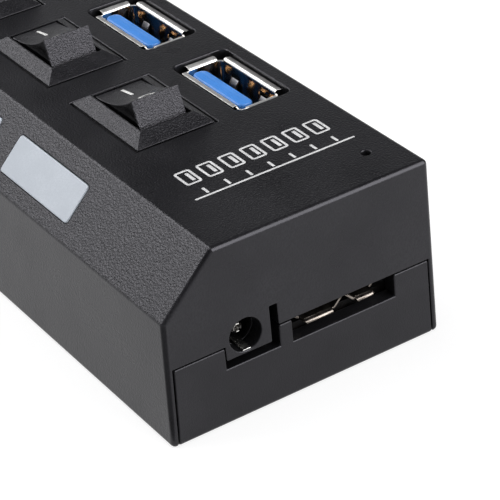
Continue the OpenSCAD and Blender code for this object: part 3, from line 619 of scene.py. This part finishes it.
def socket_shell(x):
    """Inner face of the pressed shell: round the opening one way, and the other way up the wall, through a
    quarter turn outwards and along a short drooping flat. Quads are left out at the corners of the flare
    and in the slots round the fingers. The fingers bow inwards on a smooth curve and lean back out."""
    loop, out, side = socket_loop()
    bend = np.linspace(0.0, np.pi / 2, 9)
    wall = np.concatenate([
        [board_top, 10.0, 12.4, 14.8],
        np.arange(finger_foot, 19.55, 0.3),
        np.arange(19.7, 20.95, 0.1),
        [finger_slot_top, 21.6, 22.0],
    ])
    rise = np.concatenate([wall, rim_z - flare_r + flare_r * np.sin(bend), [rim_z, rim_z]])
    turn = np.concatenate([np.zeros(len(wall)), 1.0 - np.cos(bend), [1.0, 1.0]])
    flat = np.concatenate([np.zeros(len(rise) - 2), [0.5, 1.0]])
    reach = turn[:, None] * flare_run[side] + flat[:, None] * lip_flat[side]
    on_finger = np.abs(np.abs(loop[:, 0]) - finger_x) < finger_half
    bow = np.interp(rise, finger_z, finger_bow)[:, None] * (finger_share[side] * on_finger)
    spots = np.empty((len(rise), len(loop), 3))
    spots[..., :2] = loop + reach[..., None] * out - bow[..., None] * out
    spots[..., 2] = rise[:, None] - flat[:, None] * lip_droop[side]
    rows, columns = spots.shape[:2]
    i, j = np.meshgrid(np.arange(rows - 1), np.arange(columns), indexing="ij")
    k = (j + 1) % columns
    low, high = i * columns, (i + 1) * columns
    faces = np.stack([low + j, high + j, high + k, low + k], axis=-1)
    in_flare = rise[i + 1] > rim_z - flare_r + 0.01
    at_corner = (side[j] == corner_side) | (side[k] == corner_side)
    long_wall = (side[j] == side[k]) & (side[j] % 2 == 1)
    off = np.abs(np.abs(0.5 * (loop[j, 0] + loop[k, 0])) - finger_x)
    middle_z = 0.5 * (rise[i] + rise[i + 1])
    by_finger = long_wall & (off < finger_half + finger_gap) & (middle_z < finger_slot_top)
    beside = (off > finger_half) & (middle_z > finger_foot)
    above = middle_z > finger_tip
    open_here = (in_flare & at_corner) | (by_finger & (beside | above))
    return spots.reshape(-1, 3) + (x, usb_y, 0.0), faces[~open_here].tolist()


facing_group = bpy.data.node_groups.new("facing_mask", "ShaderNodeTree")
add_socket(facing_group, "Axis", "INPUT", (0.0, 0.0, 1.0), "NodeSocketVector")
add_socket(facing_group, "Both Ways", "INPUT", 0.0)
add_socket(facing_group, "Start", "INPUT", 0.0)
add_socket(facing_group, "End", "INPUT", 1.0)
add_socket(facing_group, "Before", "INPUT", 0.0)
add_socket(facing_group, "After", "INPUT", 1.0)
add_socket(facing_group, "Mask", "OUTPUT")
given = facing_group.nodes.new("NodeGroupInput")
result = facing_group.nodes.new("NodeGroupOutput")
outward_way = facing_group.nodes.new("ShaderNodeTexCoord")
share = facing_group.nodes.new("ShaderNodeVectorMath")
share.operation = "DOT_PRODUCT"
facing_group.links.new(outward_way.outputs["Normal"], share.inputs[0])
facing_group.links.new(given.outputs["Axis"], share.inputs[1])
one_or_both = facing_group.nodes.new("ShaderNodeMix")
facing_group.links.new(given.outputs["Both Ways"], one_or_both.inputs[0])
facing_group.links.new(share.outputs["Value"], one_or_both.inputs[2])
facing_group.links.new(reckon(facing_group, "ABSOLUTE", share.outputs["Value"]), one_or_both.inputs[3])
ramp = facing_group.nodes.new("ShaderNodeMapRange")
facing_group.links.new(one_or_both.outputs[0], ramp.inputs["Value"])
for source, socket in (
    ("Start", "From Min"), ("End", "From Max"), ("Before", "To Min"), ("After", "To Max")
):
    facing_group.links.new(given.outputs[source], ramp.inputs[socket])
facing_group.links.new(ramp.outputs[0], result.inputs["Mask"])


def facing(material, axis, start, end, before, after, both_ways=0.0):
    """Places the facing group in a finish and gives its mask, which goes from one value to another
    while the share of an axis in the surface's normal goes from a start to an end."""
    mask = material.node_tree.nodes.new("ShaderNodeGroup")
    mask.node_tree = facing_group
    mask.inputs["Axis"].default_value = axis
    mask.inputs["Both Ways"].default_value = both_ways
    mask.inputs["Start"].default_value = start
    mask.inputs["End"].default_value = end
    mask.inputs["Before"].default_value = before
    mask.inputs["After"].default_value = after
    return mask.outputs["Mask"]


socket_plate = grained(
    "socket_plate", dark=(0.66, 0.65, 0.63), light=(0.84, 0.83, 0.81),
    grain=0.12, patch=1.4, depth=0.0015, gloss=(0.07, 0.13), metal=1.0,
)
tree = socket_plate.node_tree
roughness = tree.nodes["Principled BSDF"].inputs["Roughness"]
brushed = facing(socket_plate, (0.0, 0.0, 1.0), start=0.15, end=0.50, before=0.0, after=0.32)
tree.links.new(reckon(tree, "ADD", roughness.links[0].from_socket, brushed), roughness)
finger_plate = grained(
    "finger_plate", dark=(0.15, 0.15, 0.16), light=(0.20, 0.20, 0.21),
    grain=0.12, patch=1.4, depth=0.0015, gloss=(0.30, 0.40), metal=1.0,
)
for number, x in enumerate(unit_x, 1):
    shell = joined(f"usb_socket_shell_{number}", [socket_shell(x)], sheet=0.3, edge=0.02)
    dress(shell, socket_plate, "case", "socket_plate", f"usb_shell_{number}")
    shell.data.materials.append(finger_plate)
    middle = np.empty(len(shell.data.polygons) * 3)
    shell.data.polygons.foreach_get("center", middle)
    middle = middle.reshape(-1, 3) / MM - (x, usb_y, 0.0)
    rubbed = np.abs(np.abs(middle[:, 0]) - finger_x) < finger_half
    rubbed &= (middle[:, 2] > finger_rubbed) & (middle[:, 2] < finger_tip)
    shell.data.polygons.foreach_set("material_index", rubbed.astype(np.int32))

# Blue insulators in the sockets: a block on the board and a tongue with a rounded tip and a low ridge,
# moulded in one from dyed resin. Each shell is pressed over its block.
tongue_size = (11.1, 2.14)
tongue_corner = 0.86
tongue_foot = 11.9
tongue_back = 1.24
tip_edge = 22.06
tip_round = 0.30
tip_slope = 0.10
ridge_steps = [(0.55, 22.37, 0.34), (0.88, 22.39, 0.12), (1.00, 22.41, 0.05)]
block_size = (12.3, 4.92)
block_steps = [(0.0, board_top, 0.3), (0.0, 11.8, 0.3), (0.06, 11.94, 0.26), (0.2, 12.0, 0.2)]


def rounded_rectangle(length, width, radius, steps=6):
    """Goes counterclockwise round a rectangle: a quarter circle of a radius at each corner."""
    bend = np.linspace(0.0, np.pi / 2, steps + 1)
    turn = np.arange(4)[:, None] * np.pi / 2
    centre = np.array([(1, 1), (-1, 1), (-1, -1), (1, -1)]) * (length / 2 - radius, width / 2 - radius)
    arc = np.stack([np.cos(bend + turn), np.sin(bend + turn)], axis=-1)
    return (centre[:, None] + radius * arc).reshape(-1, 2)


def stacked(outline, steps):
    """Stacks rounded rectangles: each step holds an inset, a height and a corner radius."""
    length, width = outline
    loops = [rounded_rectangle(length - 2 * inset, width - 2 * inset, r) for inset, _, r in steps]
    rings = [np.column_stack([loop, np.full(len(loop), z)]) for loop, (_, z, _) in zip(loops, steps)]
    return skin(np.stack(rings))


def rounded_steps(edge_z, radius, corner, count):
    """Steps of a stack that round its upper edge with a quarter circle: the inset is r (1 - cos a) and
    the height z + r sin a."""
    turn = np.linspace(0.0, np.pi / 2, count)[1:]
    inset = radius * (1 - np.cos(turn))
    return list(zip(inset, edge_z + radius * np.sin(turn), corner - inset))


tongue_blue = grained(
    "tongue_blue", dark=(0.043, 0.196, 0.552), light=(0.060, 0.235, 0.652),
    grain=0.14, patch=2.5, depth=0.006, gloss=(0.32, 0.42),
)
# Painted shade: the base colour is scaled down to a quarter on faces turned towards +Y, the contact side of
# each tongue, which lies in the socket's shade.
tree = tongue_blue.node_tree
blue = tree.nodes["Principled BSDF"].inputs["Base Color"]
painted_shade_scale = tree.nodes.new("ShaderNodeVectorMath")
painted_shade_scale.operation = "SCALE"
tree.links.new(blue.links[0].from_socket, painted_shade_scale.inputs[0])
tree.links.new(
    facing(tongue_blue, (0.0, 1.0, 0.0), start=0.30, end=0.90, before=1.0, after=0.25),
    painted_shade_scale.inputs["Scale"],
)
tree.links.new(painted_shade_scale.outputs[0], blue)
tip_steps = [(0.0, tongue_foot, tongue_corner), (0.0, tip_edge, tongue_corner)]
tip_steps += rounded_steps(tip_edge, tip_round, tongue_corner, count=6) + ridge_steps
tip_spots, tip_faces = stacked(tongue_size, tip_steps)
falling = tip_slope * np.clip(tip_spots[:, 1], 0.0, None)
tip_spots[:, 2] -= np.where(tip_spots[:, 2] > tip_edge, falling, 0.0)
block_spots, block_faces = stacked(block_size, block_steps)
for number, x in enumerate(unit_x, 1):
    tongue = joined(f"usb_insulator_{number}", [
        (tip_spots + (x, usb_y - tongue_back, 0.0), tip_faces),
        (block_spots + (x, usb_y, 0.0), block_faces),
    ])
    dress(tongue, tongue_blue, "case", "socket_blue", f"usb_tongue_{number}")

# Nine contacts in each socket: five flat pads near the tip and four sprung ones behind them, all stamped
# from bronze strip, plated with gold, the springs crowned where they touch the plug.
tongue_face = 11.68
contact_sheet = 0.15
contact_edge = 0.03
pad_run = np.array([(0.06, 15.2), (0.06, 21.0), (0.05, 21.3), (0.02, 21.45)])
spring_run = np.array([
    (0.10, 12.0), (0.11, 13.6), (0.20, 15.0), (0.40, 16.2), (0.62, 17.1), (0.76, 17.6), (0.82, 18.0),
    (0.80, 18.35), (0.68, 18.7), (0.46, 19.0), (0.20, 19.25), (0.06, 19.4)
])
contact_rows = (
    (pad_run, (-4.0, -2.0, 0.0, 2.0, 4.0), 0.7, 0.02),
    (spring_run, (-3.5, -1.0, 1.0, 3.5), 1.0, 0.14),
)
strips = []
for x in unit_x:
    for run, spread, width, crown in contact_rows:
        for place in spread:
            path = np.column_stack([np.full(len(run), x + place), tongue_face + run[:, 0], run[:, 1]])
            strips.append(strip(path, (-width, 0.0, 0.0), (0.0, crown, 0.0)))
contacts = joined("usb_contact_strips", strips, sharp=1.2, sheet=contact_sheet, edge=contact_edge)
dress(contacts, contact_gold, "case", "contact_gold", "usb_contacts")

# Seven rocker switches. The housing and its bevelled bezel are one black moulding that snaps into the top.
# Its mould is grained like the case, but less so on the two end bevels.
bezel_round = 0.05
switch_black = grained(
    "switch_black", dark=(0.004, 0.004, 0.0045), light=(0.010, 0.010, 0.011),
    grain=0.22, patch=3.0, depth=0.060, gloss=(0.26, 0.34), index=1.46,
)
switch_black.node_tree.links.new(
    facing(switch_black, (1.0, 0.0, 0.0), start=0.20, end=0.55, before=1.0, after=0.45, both_ways=1.0),
    switch_black.node_tree.nodes["Bump"].inputs["Strength"],
)
for number in range(1, port_count + 1):
    bezel = softened(f"switch_body_{number}", f"switch_bezel_{number}", bezel_round)
    dress(bezel, switch_black, "case", "switch_black", f"switch_body_{number}")

# Inside each switch: a pair of stamped brass terminals, a bronze lever that see-saws between them, and a
# plunger of pale nylon that a spring in the rocker's post presses on the lever.
terminal_brass = grained(
    "terminal_brass", dark=(0.50, 0.34, 0.13), light=(0.70, 0.52, 0.24),
    grain=0.10, patch=1.5, depth=0.003, gloss=(0.25, 0.40), metal=1.0,
)
lever_bronze = grained(
    "lever_bronze", dark=(0.46, 0.24, 0.11), light=(0.66, 0.38, 0.20),
    grain=0.08, patch=1.0, depth=0.002, gloss=(0.22, 0.36), metal=1.0,
)
plunger_nylon = grained(
    "plunger_nylon", dark=(0.60, 0.58, 0.52), light=(0.74, 0.72, 0.66),
    grain=0.15, patch=1.2, depth=0.004, gloss=(0.40, 0.52),
)
coat(terminal_brass, "switch_terminals")
for number in range(1, port_count + 1):
    coat(lever_bronze, f"contact_lever_{number}")
    coat(plunger_nylon, f"plunger_{number}")

# The rocker caps: black, with a dished top, flared ends and a coarse mould grain. Their flat sides have a
# smoother finish, and a darker colour and weaker reflection that are painted shade. Each turns on two stubs
# and carries its plunger in a hollow post.
rocker_half = 4.75
rocker_half_width = 3.2
rocker_top = 3.0
rocker_dish = 0.65
rocker_round = 0.12
bend_steps = 5
dish_steps = 24
side_facing = 0.99
rocker_tilt = np.radians(-18.0)
pivot = np.array([0.0, -0.5, 22.65])
cap_corners = np.array([
    (-4.1, -1.6), (4.1, -1.6), (5.0, -0.7),
    (rocker_half, rocker_top), (-rocker_half, rocker_top), (-5.0, -0.7),
])
cap_middle = (0.0, 0.4)
stub_profile = np.array([(0.0, -4.0), (0.9, -4.0), (1.0, -3.9), (1.0, 3.9), (0.9, 4.0), (0.0, 4.0)])
post_profile = np.array([(0.95, -4.4), (1.7, -4.4), (1.7, -1.5), (0.95, -1.5), (0.95, -4.4)])


def dish_height(x):
    """Height of the dished top over the pivot: top - dish (1 - (x / half)^2)."""
    return rocker_top - rocker_dish * (1.0 - (x / rocker_half) ** 2)


def tipped(spots, x):
    """Turns points of the rocker's own frame to its rest tilt about Y, and moves them to the pivot."""
    spots = np.asarray(spots)
    c, s = np.cos(rocker_tilt), np.sin(rocker_tilt)
    turned_spots = np.stack([
        c * spots[..., 0] + s * spots[..., 2],
        spots[..., 1],
        -s * spots[..., 0] + c * spots[..., 2],
    ], axis=-1)
    return turned_spots + pivot + (x, 0.0, 0.0)


def rocker_outline():
    """Side view of the cap, counterclockwise in X and Z seen from -Y: foot, flared ends with a shoulder,
    and the dish, with each corner rounded by a parabola."""
    bends = bent_corners(cap_corners, rocker_round, bend_steps).reshape(len(cap_corners), -1, 2)
    brim = rocker_half - rocker_round
    x = np.linspace(brim, -brim, dish_steps + 1)[1:-1]
    dish = np.column_stack([x, dish_height(x)])
    brim_z = dish_height(brim)
    t = np.linspace(0.0, 1.0, bend_steps + 1)[:, None]
    for corner, a, c in (
        (3, bends[3, 0].copy(), np.array((brim, brim_z))),
        (4, np.array((-brim, brim_z)), bends[4, -1].copy()),
    ):
        bends[corner] = (1 - t) ** 2 * a + 2 * t * (1 - t) * cap_corners[corner] + t ** 2 * c
    return np.concatenate([bends[0], bends[1], bends[2], bends[3], dish, bends[4], bends[5]])


def rocker_cap():
    """Carries the side view across the width. At r (1 - cos a) from each side it shrinks along its own
    normals by r (1 - sin a), which rounds the side edges. Fans about a point close the sides."""
    outline = rocker_outline()
    ahead = np.roll(outline, -1, axis=0) - np.roll(outline, 1, axis=0)
    normal = np.column_stack([ahead[:, 1], -ahead[:, 0]])
    normal = normal / np.linalg.norm(normal, axis=1, keepdims=True)
    bend = np.linspace(0.0, np.pi / 2, 5)
    inwards = rocker_round * (1 - np.cos(bend))
    y = np.concatenate([inwards - rocker_half_width, rocker_half_width - inwards[::-1]])
    shrink = rocker_round * (1 - np.sin(bend))
    shrink = np.concatenate([shrink, shrink[::-1]])
    flat = outline - shrink[:, None, None] * normal
    middle = np.broadcast_to(cap_middle, outline.shape)
    flat = np.concatenate([middle[None], flat, middle[None]])
    y = np.concatenate([y[:1], y, y[-1:]])
    rings = np.stack([flat[..., 0], np.broadcast_to(y[:, None], flat.shape[:2]), flat[..., 1]], axis=-1)
    return skin(rings[:, ::-1], capped=False)


rocker_black = grained(
    "rocker_black", dark=(0.003, 0.003, 0.0033), light=(0.008, 0.008, 0.009),
    grain=0.18, patch=2.5, depth=0.050, gloss=(0.26, 0.36), index=1.56,
)
# Painted shade on the flat sides of the caps: a darker colour and a low index, which weakens their
# reflection.
shaded_rocker_side = grained(
    "shaded_rocker_side", dark=(0.0012, 0.0012, 0.0013), light=(0.003, 0.003, 0.0033),
    grain=0.18, patch=2.5, depth=0.004, gloss=(0.10, 0.18), index=1.2,
)
stub_spots, stub_faces = turned(stub_profile, steps=32)
post_spots, post_faces = turned(post_profile, steps=32)
cap_spots, cap_faces = rocker_cap()
for number, x in enumerate(unit_x, 1):
    cap = joined(f"rocker_cap_{number}", [
        (tipped(cap_spots, x), cap_faces),
        (tipped(np.roll(stub_spots, 2, axis=1), x), stub_faces),
        (tipped(post_spots, x), post_faces),
    ])
    dress(cap, rocker_black, f"rocker_{number}", "rocker_black", f"rocker_{number}")
    cap.data.materials.append(shaded_rocker_side)
    outward = np.empty(len(cap.data.polygons) * 3)
    cap.data.polygons.foreach_get("normal", outward)
    painted_shade_faces = np.abs(outward.reshape(-1, 3)[:, 1]) > side_facing
    cap.data.polygons.foreach_set("material_index", painted_shade_faces.astype(np.int32))

# The marks on each cap, printed in white ink: a dash on the end that is pressed for on, and a ring on
# the other. The ink lies on the dish, a hundredth of a millimetre thick.
ink_sheet = 0.01
ink_lift = 0.012
dash_middle = (-2.6, 0.0)
dash = rounded_rectangle(2.65, 0.42, 0.1, steps=3)
dash_spine = dash * (0.94, 0.0)
ring_middle = (2.45, 0.0)
ring_outer = 1.05
ring_inner = 0.70


def inked(outer, inner):
    """Lays a band between two loops of X and Y on the dish, a little above it."""
    loops = np.stack([outer, inner])
    return skin(np.dstack([loops, dish_height(loops[..., 0]) + ink_lift]), capped=False)


mark_white = grained(
    "mark_white", dark=(0.62, 0.62, 0.60), light=(0.78, 0.78, 0.76),
    grain=0.10, patch=0.6, depth=0.004, gloss=(0.45, 0.60),
)
ring_turn = np.linspace(0.0, 2.0 * np.pi, 40, endpoint=False)
ring = np.column_stack([np.cos(ring_turn), np.sin(ring_turn)])
dash_spots, dash_faces = inked(dash + dash_middle, dash_spine + dash_middle)
ring_spots, ring_faces = inked(ring_outer * ring + ring_middle, ring_inner * ring + ring_middle)
for number, x in enumerate(unit_x, 1):
    marks = joined(
        f"rocker_marks_{number}",
        [(tipped(dash_spots, x), dash_faces), (tipped(ring_spots, x), ring_faces)],
        sheet=ink_sheet,
        inner=0.0,
    )
    dress(marks, mark_white, f"rocker_{number}", "window_white")

# Seven light windows in the sloped face: opal acrylic, pushed in from behind until they stand a tenth of a
# millimetre proud, and held by a flange. A lamp in pale resin stands on the board behind each, and one more
# under the pinhole in the top.
slope_foot = np.array([0.0, -17.66, 16.1])
slope_up = np.array([0.0, 6.91, 6.90]) / np.hypot(6.91, 6.90)
slope_out = np.array([0.0, -slope_up[2], slope_up[1]])
window_rise = 4.6
window_size = (16.32, 5.07)
window_corner = 0.5
window_round = 0.15
window_proud = 0.10
flange_steps = [(-0.74, -2.8, 1.2), (-0.74, -2.0, 1.2), (0.0, -2.0, window_corner)]
window_edge = window_proud - window_round
window_steps = flange_steps + [(0.0, window_edge, window_corner)]
window_steps += rounded_steps(window_edge, window_round, window_corner, count=5)
window_spots, window_faces = stacked(window_size, window_steps)
window_axes = np.stack([(1.0, 0.0, 0.0), slope_up, slope_out])
window_spots = window_spots @ window_axes + slope_foot + window_rise * slope_up
windows = joined("light_windows", [(window_spots + (x, 0.0, 0.0), window_faces) for x in unit_x], sharp=0.6)
window_opal = grained(
    "window_opal", dark=(0.385, 0.42, 0.46), light=(0.45, 0.49, 0.53),
    grain=0.20, patch=5.0, depth=0.003, gloss=(0.30, 0.38),
)
dress(windows, window_opal, "case", "window_white", "led_windows")
lamp_resin = grained(
    "lamp_resin", dark=(0.62, 0.66, 0.66), light=(0.80, 0.83, 0.82),
    grain=0.15, patch=1.0, depth=0.003, gloss=(0.20, 0.30),
)
coat(lamp_resin, "port_leds", "power_led")

# The top of the case: one black moulding with the flat top, the sloped lamp face, both long walls and the
# upper half of the ends, screwed to the base from below. The mould's grain is full on the slope, weaker on
# the flat top, weaker still on the long walls and almost gone on the ends.
case_black = grained(
    "case_black", dark=(0.004, 0.004, 0.0045), light=(0.010, 0.010, 0.011),
    grain=0.24, patch=7.0, depth=0.060, gloss=(0.26, 0.34), index=1.47,
)
tree = case_black.node_tree
ends, walls, flats = (
    facing(case_black, axis, start, end, before=1.0, after=least, both_ways=1.0)
    for axis, start, end, least in (
        ((1.0, 0.0, 0.0), 0.05, 0.30, 0.10),
        ((0.0, 1.0, 0.0), 0.80, 0.95, 0.30),
        ((0.0, 0.0, 1.0), 0.80, 0.98, 0.55),
    )
)
grain_left = reckon(tree, "MULTIPLY", reckon(tree, "MULTIPLY", ends, walls), flats)
tree.links.new(grain_left, tree.nodes["Bump"].inputs["Strength"])
case_top = softened("top_shell", "case_top", case_round, settle=case_skin)
dress(case_top, case_black, "case", "case_plastic", "top_shell")

# Four cross-slot screws of blackened steel. Their heads are sunk in the base, and they pull the top down
# onto the board.
screw_steel = grained(
    "screw_steel", dark=(0.10, 0.10, 0.11), light=(0.22, 0.22, 0.23),
    grain=0.08, patch=0.8, depth=0.004, gloss=(0.28, 0.42), metal=1.0,
)
screws = softened("cover_screws", "base_screws", radius=0.06)
dress(screws, screw_steel, "case", "screw_steel", "cover_screws")

# A plain printed scale on the top beside the connector end: seven outlined boxes, one for each port, over
# a thin line with seven ticks. It is pale ink on the grained plastic.
ink_z = 23.012
print_start = -4.6
print_pitch = 2.9
box_x = 71.4
bar_y = 0.28
tick_x = 75.1
line_x = 76.2
line_y = 4.1
box_outer = rounded_rectangle(3.3, 2.1, 0.4)
box_inner = rounded_rectangle(2.66, 1.46, 0.12)
bar = rounded_rectangle(1.9, 0.44, 0.1)
bar_spine = bar * (0.5, 0.0)
tick = rounded_rectangle(1.3, 0.34, 0.1)
tick_spine = tick * (0.5, 0.0)
line = rounded_rectangle(0.3, 21.4, 0.1)
line_spine = line * (0.0, 0.99)


def printed(outer, inner, middle):
    """Lays a flat band of ink between two loops of X and Y on the top face."""
    loops = np.stack([outer, inner]) + middle
    return skin(np.dstack([loops, np.full(loops.shape[:2], ink_z)]), capped=False)


print_ink = grained(
    "print_ink", dark=(0.50, 0.50, 0.50), light=(0.66, 0.66, 0.66),
    grain=0.22, patch=1.0, depth=0.006, gloss=(0.45, 0.60),
)
print_bands = []
for y in print_start + print_pitch * np.arange(port_count):
    print_bands.append(printed(box_outer, box_inner, (box_x, y)))
    print_bands.append(printed(bar, bar_spine, (box_x, y + bar_y)))
    print_bands.append(printed(tick, tick_spine, (tick_x, y)))
print_bands.append(printed(line, line_spine, (line_x, line_y)))
scale_print = joined("port_scale_print", print_bands, sheet=ink_sheet, inner=0.0)
dress(scale_print, print_ink, "case", "window_white")
